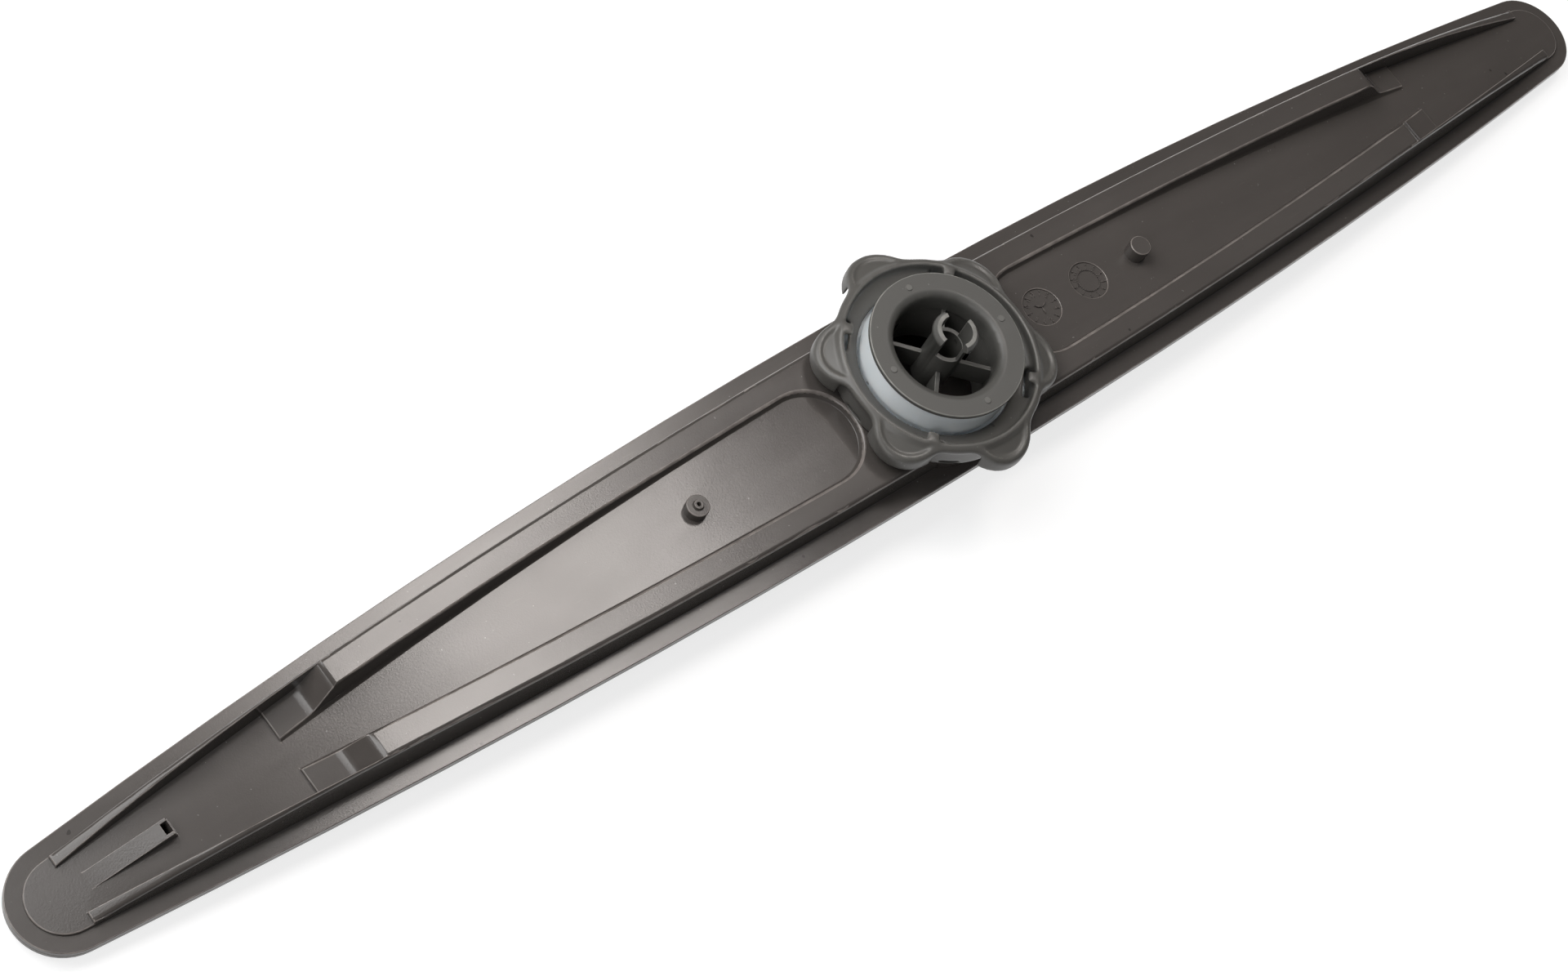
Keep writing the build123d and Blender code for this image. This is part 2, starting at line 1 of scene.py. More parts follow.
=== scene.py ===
# %% [markdown]
# # A dishwasher spray arm, dressed for a product photograph
# The solid model gives five moulded pieces in metres: two welded arm shells, a pale slide bush, an inlet
# collar and a lobed grip ring. This lesson keeps their places, gives every piece a skin with rolled edges
# and a moulded plastic with its own wear, and photographs the part from above on a white ground.

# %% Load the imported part
import math

import bmesh
import bpy
from mathutils import Matrix, Vector


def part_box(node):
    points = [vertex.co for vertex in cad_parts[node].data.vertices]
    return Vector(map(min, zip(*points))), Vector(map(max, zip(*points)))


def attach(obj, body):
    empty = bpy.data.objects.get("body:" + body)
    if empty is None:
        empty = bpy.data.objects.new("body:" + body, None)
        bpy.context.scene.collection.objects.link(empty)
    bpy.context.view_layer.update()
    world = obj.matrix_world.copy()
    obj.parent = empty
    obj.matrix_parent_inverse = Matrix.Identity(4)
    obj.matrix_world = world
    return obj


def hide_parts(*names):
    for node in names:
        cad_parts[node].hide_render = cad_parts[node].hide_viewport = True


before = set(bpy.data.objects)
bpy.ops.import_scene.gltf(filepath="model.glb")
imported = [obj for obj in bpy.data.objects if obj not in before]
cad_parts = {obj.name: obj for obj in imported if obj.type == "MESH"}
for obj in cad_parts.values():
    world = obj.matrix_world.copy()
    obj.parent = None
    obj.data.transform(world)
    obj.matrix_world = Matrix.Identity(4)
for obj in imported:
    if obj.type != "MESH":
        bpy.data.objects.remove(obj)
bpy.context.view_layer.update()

MM = 0.001
scene = bpy.context.scene
print("pieces:", sorted(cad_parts))

# %% [markdown]
# ## Where things are
# The hub axis is the origin's vertical, the arm lies along X, and its belly rests on the ground at zero.
# The boxes of the solids give the overall sizes. Smaller places, such as a dial or a boss, are written down
# as named values where they are first needed, in millimetres along and across the arm.

# %% Measure the pieces
for node in sorted(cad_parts):
    low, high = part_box(node)
    print(node, "measures", [round(side / MM, 1) for side in Vector(high) - Vector(low)], "mm")
COLLAR_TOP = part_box("hub_collar")[1].z

# %% [markdown]
# ## Moulded plastic
# The arm is a filled polypropylene: grey-brown, satin, with a cloudy skin where the melt flowed, fine
# scuffs from handling and specks of dust. A painted picture could show that, but noise needs no picture and
# holds at any distance. One function makes the family, because the pieces are the same kind of plastic and
# differ in tone and polish alone. Noise drives colour and roughness a little, a stretched noise gives
# scuffs, and a very fine bump gives the skin of a spark-eroded mould. Where handling rubs a piece, and where
# a thin highlight line is painted on an edge or crest, its own attribute makes the plastic paler: this pale
# tone is partly rubbing and partly painted highlight.


# %% Node helpers
def new_material(name):
    """An empty node material with its output and one principled shader."""
    material = bpy.data.materials.new(name)
    material.use_nodes = True
    tree = material.node_tree
    tree.nodes.clear()
    output = tree.nodes.new("ShaderNodeOutputMaterial")
    shader = tree.nodes.new("ShaderNodeBsdfPrincipled")
    tree.links.new(shader.outputs["BSDF"], output.inputs["Surface"])
    return material, tree, shader


def object_coordinates(tree, scale=(1, 1, 1), turn=(0, 0, 0)):
    """Object coordinates through a mapping that stretches or turns a pattern."""
    place = tree.nodes.new("ShaderNodeTexCoord")
    mapping = tree.nodes.new("ShaderNodeMapping")
    mapping.inputs["Scale"].default_value = scale
    mapping.inputs["Rotation"].default_value = turn
    tree.links.new(place.outputs["Object"], mapping.inputs["Vector"])
    return mapping.outputs["Vector"]


def noise(tree, vector, scale, detail=4.0, roughness=0.55):
    """A noise factor between zero and one."""
    node = tree.nodes.new("ShaderNodeTexNoise")
    node.inputs["Scale"].default_value = scale
    node.inputs["Detail"].default_value = detail
    node.inputs["Roughness"].default_value = roughness
    tree.links.new(vector, node.inputs["Vector"])
    return node.outputs["Fac"]


def remap(tree, value, low, high, new_low, new_high):
    """A clamped linear change of range."""
    node = tree.nodes.new("ShaderNodeMapRange")
    node.inputs["From Min"].default_value = low
    node.inputs["From Max"].default_value = high
    node.inputs["To Min"].default_value = new_low
    node.inputs["To Max"].default_value = new_high
    tree.links.new(value, node.inputs["Value"])
    return node.outputs["Result"]


def mix_colour(tree, factor, first, second):
    """A mix of two colours, each a tuple or a socket."""
    node = tree.nodes.new("ShaderNodeMix")
    node.data_type = "RGBA"
    tree.links.new(factor, node.inputs["Factor"])
    for socket, colour in ((node.inputs["A"], first), (node.inputs["B"], second)):
        if isinstance(colour, tuple):
            socket.default_value = (*colour, 1)
        else:
            tree.links.new(colour, socket)
    return node.outputs["Result"]


def math_node(tree, operation, first, second):
    """One arithmetic step on sockets or numbers."""
    node = tree.nodes.new("ShaderNodeMath")
    node.operation = operation
    for index, value in enumerate((first, second)):
        if isinstance(value, (int, float)):
            node.inputs[index].default_value = value
        else:
            tree.links.new(value, node.inputs[index])
    return node.outputs[0]


def bump(tree, height, strength, distance):
    """A bump normal from a height."""
    node = tree.nodes.new("ShaderNodeBump")
    node.inputs["Strength"].default_value = strength
    node.inputs["Distance"].default_value = distance
    tree.links.new(height, node.inputs["Height"])
    return node.outputs["Normal"]


# %% Make a plastic
DUST_TONE = (0.42, 0.41, 0.39)
# how much paler the pale edges and crests are, partly from rubbing and partly as painted highlight
EDGE_WEAR_AND_HIGHLIGHT = 3.2
FLOW_STRETCH = (18, 95, 95)
FLOW_RANGE = (0.75, 1.3)
SCUFF_STRETCH = (90, 1900, 1900)
SCUFF_TURN = (0, 0, 0.5)
SCUFF_RANGE = (0.70, 0.78)
PIT_RANGE = (0.80, 0.83)
DUST_RANGE = (0.79, 0.83)
PATCH_RANGE = (0.35, 0.65)


def paler(tone, factor):
    """A tone made paler, or darker with a factor under one."""
    return tuple(min(1, channel * factor) for channel in tone)


def moulded_plastic(name, tone, cloud_tone, roughness, polish, scuff=0.14):
    """Satin moulded plastic with flow clouds, scuffs, pits, dust, pale edges from rubbing and painted
    highlight, and a fine mould grain.
    """
    material, tree, shader = new_material(name)
    even = object_coordinates(tree)
    cloud = noise(tree, even, 26, 5, 0.6)
    streak = noise(tree, object_coordinates(tree, FLOW_STRETCH), 1.0, 3)
    flow = math_node(tree, "ADD", cloud, streak)
    colour = mix_colour(tree, remap(tree, flow, *FLOW_RANGE, 0, 1), tone, cloud_tone)
    scratch = noise(tree, object_coordinates(tree, SCUFF_STRETCH, SCUFF_TURN), 1.0, 2, 0.5)
    colour = mix_colour(tree, remap(tree, scratch, *SCUFF_RANGE, 0, scuff), colour, paler(tone, 1.9))
    pit = noise(tree, even, 430, 1, 0.3)
    colour = mix_colour(tree, remap(tree, pit, *PIT_RANGE, 0, 0.7), colour, paler(tone, 0.35))
    dust = noise(tree, even, 1500, 1, 0.3)
    colour = mix_colour(tree, remap(tree, dust, *DUST_RANGE, 0, 0.25), colour, DUST_TONE)
    # painted highlight: this attribute pales the tone on rolled edges and crests, partly for rubbing and
    # partly as painted highlight lines
    wear_and_highlight = tree.nodes.new("ShaderNodeAttribute")
    wear_and_highlight.attribute_name = "wear_and_highlight"
    patchy = remap(tree, noise(tree, even, 260, 3, 0.6), *PATCH_RANGE, 0.45, 1)
    rubbed_and_highlit = math_node(tree, "MULTIPLY", wear_and_highlight.outputs["Fac"], patchy)
    colour = mix_colour(tree, rubbed_and_highlit, colour, paler(tone, EDGE_WEAR_AND_HIGHLIGHT))
    tree.links.new(colour, shader.inputs["Base Color"])
    polished = remap(tree, flow, *FLOW_RANGE, roughness - polish, roughness + polish)
    tree.links.new(polished, shader.inputs["Roughness"])
    shader.inputs["Specular IOR Level"].default_value = 0.5
    shader.inputs["IOR"].default_value = 1.49
    grain = noise(tree, even, 2600, 2, 0.5)
    tree.links.new(bump(tree, grain, 0.06, 0.0002), shader.inputs["Normal"])
    return material


# %% The four plastics of the part
ARM_TONE = (0.070, 0.062, 0.057)
RING_TONE = (0.090, 0.086, 0.079)
COLLAR_TONE = (0.081, 0.079, 0.073)
BUSH_TONE = (0.84, 0.90, 0.94)
arm_plastic = moulded_plastic("arm_plastic", ARM_TONE, paler(ARM_TONE, 1.16), 0.19, 0.035)
ring_plastic = moulded_plastic("ring_plastic", RING_TONE, paler(RING_TONE, 1.1), 0.38, 0.05)
collar_plastic = moulded_plastic("collar_plastic", COLLAR_TONE, paler(COLLAR_TONE, 1.1), 0.42, 0.05)
bush_plastic = moulded_plastic("bush_plastic", BUSH_TONE, paler(BUSH_TONE, 1.06), 0.42, 0.05, 0.05)
bush_shader = bush_plastic.node_tree.nodes["Principled BSDF"]
bush_shader.inputs["Subsurface Weight"].default_value = 0.4
bush_shader.inputs["Subsurface Radius"].default_value = (1.0, 1.1, 1.2)
bush_shader.inputs["Subsurface Scale"].default_value = 3 * MM
print("plastics:", [m.name for m in (arm_plastic, ring_plastic, collar_plastic, bush_plastic)])

# %% [markdown]
# ## Skins with rolled edges
# No edge of a moulding is knife sharp: the mould's corners and the polish leave a small round that catches
# the light as a thin bright line. Each solid piece therefore gets a skin, a copy whose loose triangles are
# joined into clean faces and whose sharp edges are rolled over by a Bevel modifier. Every edge carries its
# own radius as a bevel weight, because a rim is rolled more than the edge of a pinhole.
#
# The skin's normals are then set one by one. Averaged over all the faces at a point, the long thin triangles
# beside a flat panel would tilt its shading. So each face pulls with the square of its width: wide faces
# stay flat, and the narrow strips between them bend like a round.

# %% Copy a solid, and bake a piece
WELD = 0.0005 * MM


def merged_copy(node):
    """A copy of a solid's mesh with its loose triangles merged."""
    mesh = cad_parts[node].data.copy()
    if "custom_normal" in mesh.attributes:
        mesh.attributes.remove(mesh.attributes["custom_normal"])
    skin = bmesh.new()
    skin.from_mesh(mesh)
    bmesh.ops.remove_doubles(skin, verts=skin.verts[:], dist=WELD)
    return mesh, skin


def mark_worn(mesh, wear_and_highlight_at):
    """Turn the second material of the rolled faces into an attribute of rubbing and painted highlight, and
    leave one material.
    """
    wear_and_highlight = mesh.attributes.new("wear_and_highlight", "FLOAT", "FACE")
    wear_and_highlight.data.foreach_set("value", [wear_and_highlight_at(face, face.material_index) for face in mesh.polygons])
    for face in mesh.polygons:
        face.material_index = 0
    mesh.materials.pop()


def baked(piece):
    """Apply a piece's modifiers, and give its new mesh."""
    evaluated = piece.evaluated_get(bpy.context.evaluated_depsgraph_get())
    piece.data = bpy.data.meshes.new_from_object(evaluated)
    piece.modifiers.clear()
    return piece.data


# %% Normals that keep wide faces flat
CREASE_ANGLE = math.radians(50)
FLAT_ANGLE = math.radians(1.5)


def shading_groups(point):
    """The faces round a point, in groups that shade into each other."""
    waiting = list(point.link_faces)
    while waiting:
        group = [waiting.pop()]
        for face in group:
            soft = [edge for edge in face.edges if point in edge.verts and edge.smooth]
            beyond = {other for edge in soft for other in edge.link_faces}
            group.extend(other for other in waiting if other in beyond)
            waiting = [other for other in waiting if other not in beyond]
        yield group


def face_width(face):
    """How wide a face is across its longest way, so that a long thin strip counts as narrow."""
    corners = [corner.co for corner in face.verts]
    reach = Vector(max(c[i] for c in corners) - min(c[i] for c in corners) for i in range(3)).length
    return face.calc_area() / reach


def flat_width(face, widths):
    """The width of a face, or of a wider one that goes on flat beside it."""
    flat = [edge for edge in face.edges if edge.is_manifold and edge.calc_face_angle() < FLAT_ANGLE]
    beside = [widths[other] for edge in flat for other in edge.link_faces]
    return max(beside, default=widths[face])


def even_normals(mesh):
    """Shade over the soft edges, with the wide faces kept flat and the narrow ones bent between them."""
    skin = bmesh.new()
    skin.from_mesh(mesh)
    for edge in skin.edges:
        edge.smooth = edge.is_manifold and edge.calc_face_angle() < CREASE_ANGLE
    widths = {face: face_width(face) for face in skin.faces}
    pull = {face: face.normal * flat_width(face, widths) ** 2 for face in skin.faces}
    normals = {}
    for point in skin.verts:
        for group in shading_groups(point):
            normal = sum((pull[face] for face in group), Vector()).normalized()
            normals.update({(face.index, point.index): normal for face in group})
    skin.free()
    corners = [(face.index, corner) for face in mesh.polygons for corner in face.vertices]
    mesh.normals_split_custom_set([normals[corner] for corner in corners])


# %% Roll the edges of a skin
ROLL_UNIT = 1.0
ROLL_SEGMENTS = 3
SHARP_ANGLE = math.radians(50)
JOIN_ANGLE = math.radians(0.2)


def weigh_edges(skin, roll_at):
    """Give every sharp outer edge the radius that roll_at names for its place, as a bevel weight."""
    weight = skin.edges.layers.float.new("bevel_weight_edge")
    for edge in skin.edges:
        sharp = edge.is_manifold and edge.calc_face_angle() > SHARP_ANGLE
        if sharp and edge.is_convex:
            middle = (edge.verts[0].co + edge.verts[1].co) / 2
            edge[weight] = roll_at(middle.x / MM, middle.y / MM, middle.z / MM) / ROLL_UNIT


def rolled_skin(node, name, body, material, roll_at, wear_and_highlight_at):
    """A skin over one solid, its outer edges rolled by roll_at and its faces made pale by the second rule,
    partly as rubbing and partly as painted highlight.
    """
    mesh, skin = merged_copy(node)
    bmesh.ops.dissolve_limit(skin, angle_limit=JOIN_ANGLE, verts=skin.verts[:], edges=skin.edges[:])
    weigh_edges(skin, roll_at)
    for face in skin.faces:
        face.smooth = True
    skin.to_mesh(mesh)
    skin.free()
    mesh.materials.clear()
    mesh.materials.append(material)
    mesh.materials.append(material)
    piece = bpy.data.objects.new(name, mesh)
    scene.collection.objects.link(piece)
    roll = piece.modifiers.new("rolled_edges", "BEVEL")
    roll.limit_method = "WEIGHT"
    roll.width = ROLL_UNIT * MM
    roll.segments = ROLL_SEGMENTS
    roll.use_clamp_overlap = False
    roll.material = 1
    finished = baked(piece)
    even_normals(finished)
    mark_worn(finished, wear_and_highlight_at)
    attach(piece, body)
    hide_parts(node)
    print(name, "has", len(finished.polygons), "faces")
    return piece


# %% [markdown]
# ## How round each edge is
# A mould is polished where it is easy to reach: the long rails and rims come out rounder than the corners of
# a small sink, a pinhole or a slot. One radius for all would swallow the pinhole or leave the rails sharp,
# so each piece has a rule that gives a radius in millimetres for a place.

# %% Radii by place
DIAL_PLACES = (36.0, 51.1)
DIAL_REACH = 5.2
NIPPLE_PLACE = -66.4
PINHOLE_REACH = 1.7
JET_FROM, JET_TO = -216, -193
JET_SIDE = 3
SLOT_TOP = 3
FLANGE_INSIDE = 13
RIM_ROLL, FLANGE_ROLL = 0.22, 0.25
SINK_ROLL, BUSH_ROLL = 0.18, 0.18
JET_ROLL, SLOT_ROLL, SPIDER_ROLL = 0.15, 0.15, 0.15
PINHOLE_ROLL = 0.1


def hub_shell_roll(x, y, z):
    """Rails and rim are rolled most, the small features on the panels least."""
    if abs(y) < DIAL_REACH and any(abs(x - place) < DIAL_REACH for place in DIAL_PLACES):
        return SINK_ROLL
    if math.hypot(x - NIPPLE_PLACE, y) < PINHOLE_REACH:
        return PINHOLE_ROLL
    if JET_FROM < x < JET_TO and abs(y) < JET_SIDE:
        return JET_ROLL
    return RIM_ROLL


def nozzle_shell_roll(x, y, z):
    """The rim is rolled, the spray slots only a little."""
    return SLOT_ROLL if z < SLOT_TOP else RIM_ROLL


def bush_roll(x, y, z):
    """A turned look: one small radius everywhere."""
    return BUSH_ROLL


def collar_roll(x, y, z):
    """The flange is rolled, the spider and its prongs a little."""
    return FLANGE_ROLL if math.hypot(x, y) > FLANGE_INSIDE else SPIDER_ROLL


# %% [markdown]
# ## Where the plastic is pale from rubbing and painted highlight
# Handling and washing rub the proud edges pale, and the brink of the sunk panels with them. A painted mask
# would do, but the rolled faces are known already, so a rule gives each face its paleness and the plastic
# reads it as an attribute. The same pale tone stands for the thin highlight lines on rolled edges, on the
# brink and on the prong tops, so it is partly rubbing and partly painted highlight. Deep in the mouth of
# the collar the pale lines are kept faint, where the bore lies in shade.

# %% Rubbing and painted highlights by place
PRONG_TIPS = COLLAR_TOP - 0.3 * MM
LEVEL = 0.9
SPIDER_REACH = 12 * MM
# painted highlight lines are kept faint deep in the collar's mouth, where the bore lies in shade
SPIDER_WEAR_AND_HIGHLIGHT = 0.35
RAIL_TOP = 19.5 * MM
RAIL_FALL = 1.2 / 140
# the eased brink of the sunk panels is painted pale as a highlight line
BRINK_DEPTH = 0.6 * MM
BRINK_STEEP, BRINK_SHALLOW = 0.5, 0.85


def edge_wear(face, rolled):
    """Every rolled edge is made pale, partly as rubbing and partly as a painted highlight line."""
    return float(rolled)


def shell_wear(face, rolled):
    """The rolled edges are made pale as rubbing and painted highlight, and the eased brink of the sunk panels
    at the height of the rails as a painted highlight line.
    """
    high = face.center.z > RAIL_TOP - RAIL_FALL * abs(face.center.x) - BRINK_DEPTH
    return float(rolled or (high and BRINK_STEEP < face.normal.z < BRINK_SHALLOW))


def collar_wear(face, rolled):
    """The upward prong tops are made pale all over as rubbing and painted highlight, the edges deep in the
    mouth fainter than the flange, where the bore lies in shade.
    """
    if face.center.z > PRONG_TIPS and face.normal.z > LEVEL:
        return 1.0
    return rolled * (SPIDER_WEAR_AND_HIGHLIGHT if face.center.xy.length < SPIDER_REACH else 1.0)


# %% Dress the shells, the bush and the collar
hub_skin = rolled_skin(
    "hub_shell", "arm_hub_shell", "arm", arm_plastic, hub_shell_roll, shell_wear
)
rolled_skin(
    "nozzle_shell", "arm_nozzle_shell", "arm", arm_plastic, nozzle_shell_roll, edge_wear
)
rolled_skin("bearing_ring", "slide_bush", "arm", bush_plastic, bush_roll, edge_wear)
collar_skin = rolled_skin(
    "hub_collar", "inlet_collar", "collar", collar_plastic, collar_roll, collar_wear
)

# %% [markdown]
# ## The grip ring
# The ring is made for fingers: its six lobes are rounded like pebbles, their tops are dished inside a soft
# crest, and no edge is crisp. A bevel would have to turn sharp corners where the lobes run into the valleys,
# and would tear there. So the ring is rebuilt from small even cells by the Remesh modifier. The Smooth
# modifier then rounds its edges a little and the lobes a lot, through vertex groups that spare the four nibs.
# The dish is pressed in point by point. Where a point stands proud of its neighbours and faces up the
# plastic is made pale, partly as rubbing and partly as a painted highlight on the crests, so both follow the
# shape.

# %% Rub with painted highlights, and dish the ring
# painted highlight: proud points that face up are made paler, partly as rubbing and partly as a highlight on
# the crests
RUB_HIGHLIGHT_START, RUB_HIGHLIGHT_FULL = 0.012 * MM, 0.039 * MM
RUB_HIGHLIGHT_TILT = (0.2, 0.5)
TOP_START, TOP_FULL = 22.2 * MM, 23.6 * MM
TOP_TILT = (0.4, 0.7)
LOBE_STEP = math.tau / 6
LOBE_CIRCLE, LOBE_RADIUS = 20.5 * MM, 8.0 * MM
CREST, DISH_WALL = 1.0 * MM, 2.4 * MM
DISH_START, DISH_FULL = 22.8 * MM, 24.2 * MM
DISH_DEPTH = 0.6 * MM


def share(value, low, high):
    """How far a value has gone from low to high, between zero and one."""
    return min(1, max(0, (value - low) / (high - low)))


def rub_proud_points(mesh):
    """Pale rubbing and painted highlight where a point stands proud of the mean of its neighbours and faces
    up.
    """
    skin = bmesh.new()
    skin.from_mesh(mesh)
    skin.normal_update()
    wear_and_highlight = skin.verts.layers.float.new("wear_and_highlight")
    for point in skin.verts:
        near = [edge.other_vert(point).co for edge in point.link_edges]
        proud = (point.co - sum(near, Vector()) / len(near)).dot(point.normal)
        point[wear_and_highlight] = share(proud, RUB_HIGHLIGHT_START, RUB_HIGHLIGHT_FULL) * share(point.normal.z, *RUB_HIGHLIGHT_TILT)
    skin.to_mesh(mesh)
    skin.free()


def eased(value):
    """A share with a soft start and a soft end."""
    return value * value * (3 - 2 * value)


def dish_lobes(mesh):
    """Sink the top of each lobe inside its crest, as a rest for a finger."""
    facing = [point.normal.z for point in mesh.vertices]
    for point, upward in zip(mesh.vertices, facing):
        turn = math.atan2(point.co.y, point.co.x)
        lobe = (math.floor(turn / LOBE_STEP) + 0.5) * LOBE_STEP
        middle = LOBE_CIRCLE * Vector((math.cos(lobe), math.sin(lobe)))
        inside = share(LOBE_RADIUS - (point.co.xy - middle).length, CREST, DISH_WALL)
        behind = share(point.co.xy.length, DISH_START, DISH_FULL)
        top = share(point.co.z, TOP_START, TOP_FULL) * share(upward, *TOP_TILT)
        point.co.z -= DISH_DEPTH * eased(inside) * eased(behind) * top


# %% Remesh and smooth the ring
RING_CELL = 0.30 * MM
LOBE_START, LOBE_FULL = 23.4 * MM, 25.2 * MM
NIB_REACH, NIB_FOOT = 22.3 * MM, 26.2 * MM
NIB_EASE = 0.2
EDGE_PASSES, LOBE_PASSES = 3, 34


def lobed_ring():
    """The grip ring as one soft-edged moulding."""
    mesh, skin = merged_copy("grip_ring")
    skin.to_mesh(mesh)
    skin.free()
    mesh.materials.clear()
    mesh.materials.append(ring_plastic)
    piece = bpy.data.objects.new("lobed_grip_ring", mesh)
    scene.collection.objects.link(piece)
    cells = piece.modifiers.new("even_cells", "REMESH")
    cells.mode = "VOXEL"
    cells.voxel_size = RING_CELL
    cells.use_smooth_shade = True
    edges = piece.vertex_groups.new(name="edges")
    lobes = piece.vertex_groups.new(name="lobes")
    for point in baked(piece).vertices:
        reach = point.co.xy.length
        nib = reach < NIB_REACH and point.co.z > NIB_FOOT
        edges.add([point.index], NIB_EASE if nib else 1, "REPLACE")
        out = share(reach, LOBE_START, LOBE_FULL)
        lobes.add([point.index], out * share(point.co.z, TOP_START, TOP_FULL), "REPLACE")
    for iterations, group in ((EDGE_PASSES, "edges"), (LOBE_PASSES, "lobes")):
        ease = piece.modifiers.new("ease", "SMOOTH")
        ease.factor = 0.5
        ease.iterations = iterations
        ease.vertex_group = group
    mesh = baked(piece)
    dish_lobes(mesh)
    rub_proud_points(mesh)
    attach(piece, "ring")
    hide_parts("grip_ring")
    print("lobed_grip_ring has", len(mesh.polygons), "faces")


lobed_ring()

# %% [markdown]
# ## Marks of the mould
# Two round date inserts leave dials in one panel: a ring of ticks with plain month numbers, one dial with a
# pointer and one with an inner ring. Ejector pins leave four faint discs on the collar's flange. Copying a
# mark round a circle by hand would be dull, so a Geometry Nodes tree sets a stamp on the points of a circle
# and turns each copy to face outwards. Its inputs are the count, the circle's radius and the stamp's size.


# %% A tree that sets a stamp round a circle
def input_socket(tree, name, kind):
    """A named input of a node group."""
    return tree.interface.new_socket(name, in_out="INPUT", socket_type=kind)


def stamp_circle_tree():
    """Geometry Nodes: a low drafted stamp on every point of a circle, turned outwards."""
    tree = bpy.data.node_groups.new("stamp_circle", "GeometryNodeTree")
    input_socket(tree, "Count", "NodeSocketInt")
    for name in ("Radius", "Reach", "Width", "Rise"):
        input_socket(tree, name, "NodeSocketFloat")
    input_socket(tree, "Sides", "NodeSocketInt")
    input_socket(tree, "Material", "NodeSocketMaterial")
    tree.interface.new_socket("Geometry", in_out="OUTPUT", socket_type="NodeSocketGeometry")
    given = tree.nodes.new("NodeGroupInput").outputs
    link = tree.links.new
    circle = tree.nodes.new("GeometryNodeMeshCircle")
    link(given["Count"], circle.inputs["Vertices"])
    link(given["Radius"], circle.inputs["Radius"])
    stamp = tree.nodes.new("GeometryNodeMeshCone")
    stamp.inputs["Radius Top"].default_value = 0.42
    stamp.inputs["Radius Bottom"].default_value = 0.5
    stamp.inputs["Depth"].default_value = 1.0
    link(given["Sides"], stamp.inputs["Vertices"])
    size = tree.nodes.new("ShaderNodeCombineXYZ")
    for axis, name in zip("XYZ", ("Reach", "Width", "Rise")):
        link(given[name], size.inputs[axis])
    outward = tree.nodes.new("FunctionNodeAlignRotationToVector")
    outward.axis = "X"
    outward.pivot_axis = "Z"
    place = tree.nodes.new("GeometryNodeInputPosition")
    link(place.outputs["Position"], outward.inputs["Vector"])
    copies = tree.nodes.new("GeometryNodeInstanceOnPoints")
    link(circle.outputs["Mesh"], copies.inputs["Points"])
    link(stamp.outputs["Mesh"], copies.inputs["Instance"])
    link(outward.outputs["Rotation"], copies.inputs["Rotation"])
    link(size.outputs["Vector"], copies.inputs["Scale"])
    whole = tree.nodes.new("GeometryNodeRealizeInstances")
    link(copies.outputs["Instances"], whole.inputs["Geometry"])
    dressed = tree.nodes.new("GeometryNodeSetMaterial")
    link(whole.outputs["Geometry"], dressed.inputs["Geometry"])
    link(given["Material"], dressed.inputs["Material"])
    result = tree.nodes.new("NodeGroupOutput")
    link(dressed.outputs["Geometry"], result.inputs["Geometry"])
    return tree


STAMPS = stamp_circle_tree()
print("stamp tree has", len(STAMPS.nodes), "nodes")


# %% Stamp a circle of marks onto a surface
def top_of(skin, x, y):
    """Height of a skin's uppermost surface at a place."""
    hit, point, _, _ = skin.ray_cast(Vector((x, y, 1)), Vector((0, 0, -1)))
    assert hit, "nothing under the mark"
    return point.z


def stamped_marks(centre, turn, **inputs):
    """Bake one circle of stamps to a plain mesh, moved to its centre and turned."""
    holder = bpy.data.objects.new("stamps", bpy.data.meshes.new("stamps"))
    scene.collection.objects.link(holder)
    modifier = holder.modifiers.new("stamps", "NODES")
    modifier.node_group = STAMPS
    for item in STAMPS.interface.items_tree:
        if item.in_out == "INPUT":
            modifier[item.identifier] = inputs[item.name.lower()]
    evaluated = holder.evaluated_get(bpy.context.evaluated_depsgraph_get())
    mesh = bpy.data.meshes.new_from_object(evaluated)
    bpy.data.objects.remove(holder)
    mesh.transform(Matrix.Translation(centre) @ Matrix.Rotation(turn, 4, "Z"))
    return mesh


def joined_piece(name, meshes, material, body, paleness):
    """One plain piece from several meshes, made evenly paler, riding on a body."""
    joined = bmesh.new()
    for part in meshes:
        joined.from_mesh(part)
    mesh = bpy.data.meshes.new(name)
    joined.to_mesh(mesh)
    joined.free()
    mesh.materials.clear()
    mesh.materials.append(material)
    wear_and_highlight = mesh.attributes.new("wear_and_highlight", "FLOAT", "FACE")
    wear_and_highlight.data.foreach_set("value", [paleness] * len(mesh.polygons))
    piece = bpy.data.objects.new(name, mesh)
    scene.collection.objects.link(piece)
    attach(piece, body)
    print(name, "has", len(mesh.polygons), "faces")
    return piece


# %% Date dials in the far panel
MARK_SINK = 0.06 * MM
TICK = {"radius": 4.15 * MM, "reach": 0.6 * MM, "width": 0.28 * MM, "rise": 0.3 * MM, "sides": 4}
INNER_RING = {"radius": 2.75 * MM, "reach": 0.3 * MM, "width": 0.42 * MM, "rise": 0.26 * MM, "sides": 4}
POINTER = {"radius": 0.9 * MM, "reach": 1.9 * MM, "width": 0.4 * MM, "rise": 0.3 * MM, "sides": 4}
NUMBER_SIZE = 1.25 * MM
NUMBER_RISE = 0.11 * MM
NUMBER_CIRCLE = 3.35 * MM
INNER_TURN = 0.4
# the dial marks are made evenly a little paler than the panel
DIAL_PALENESS = 0.35


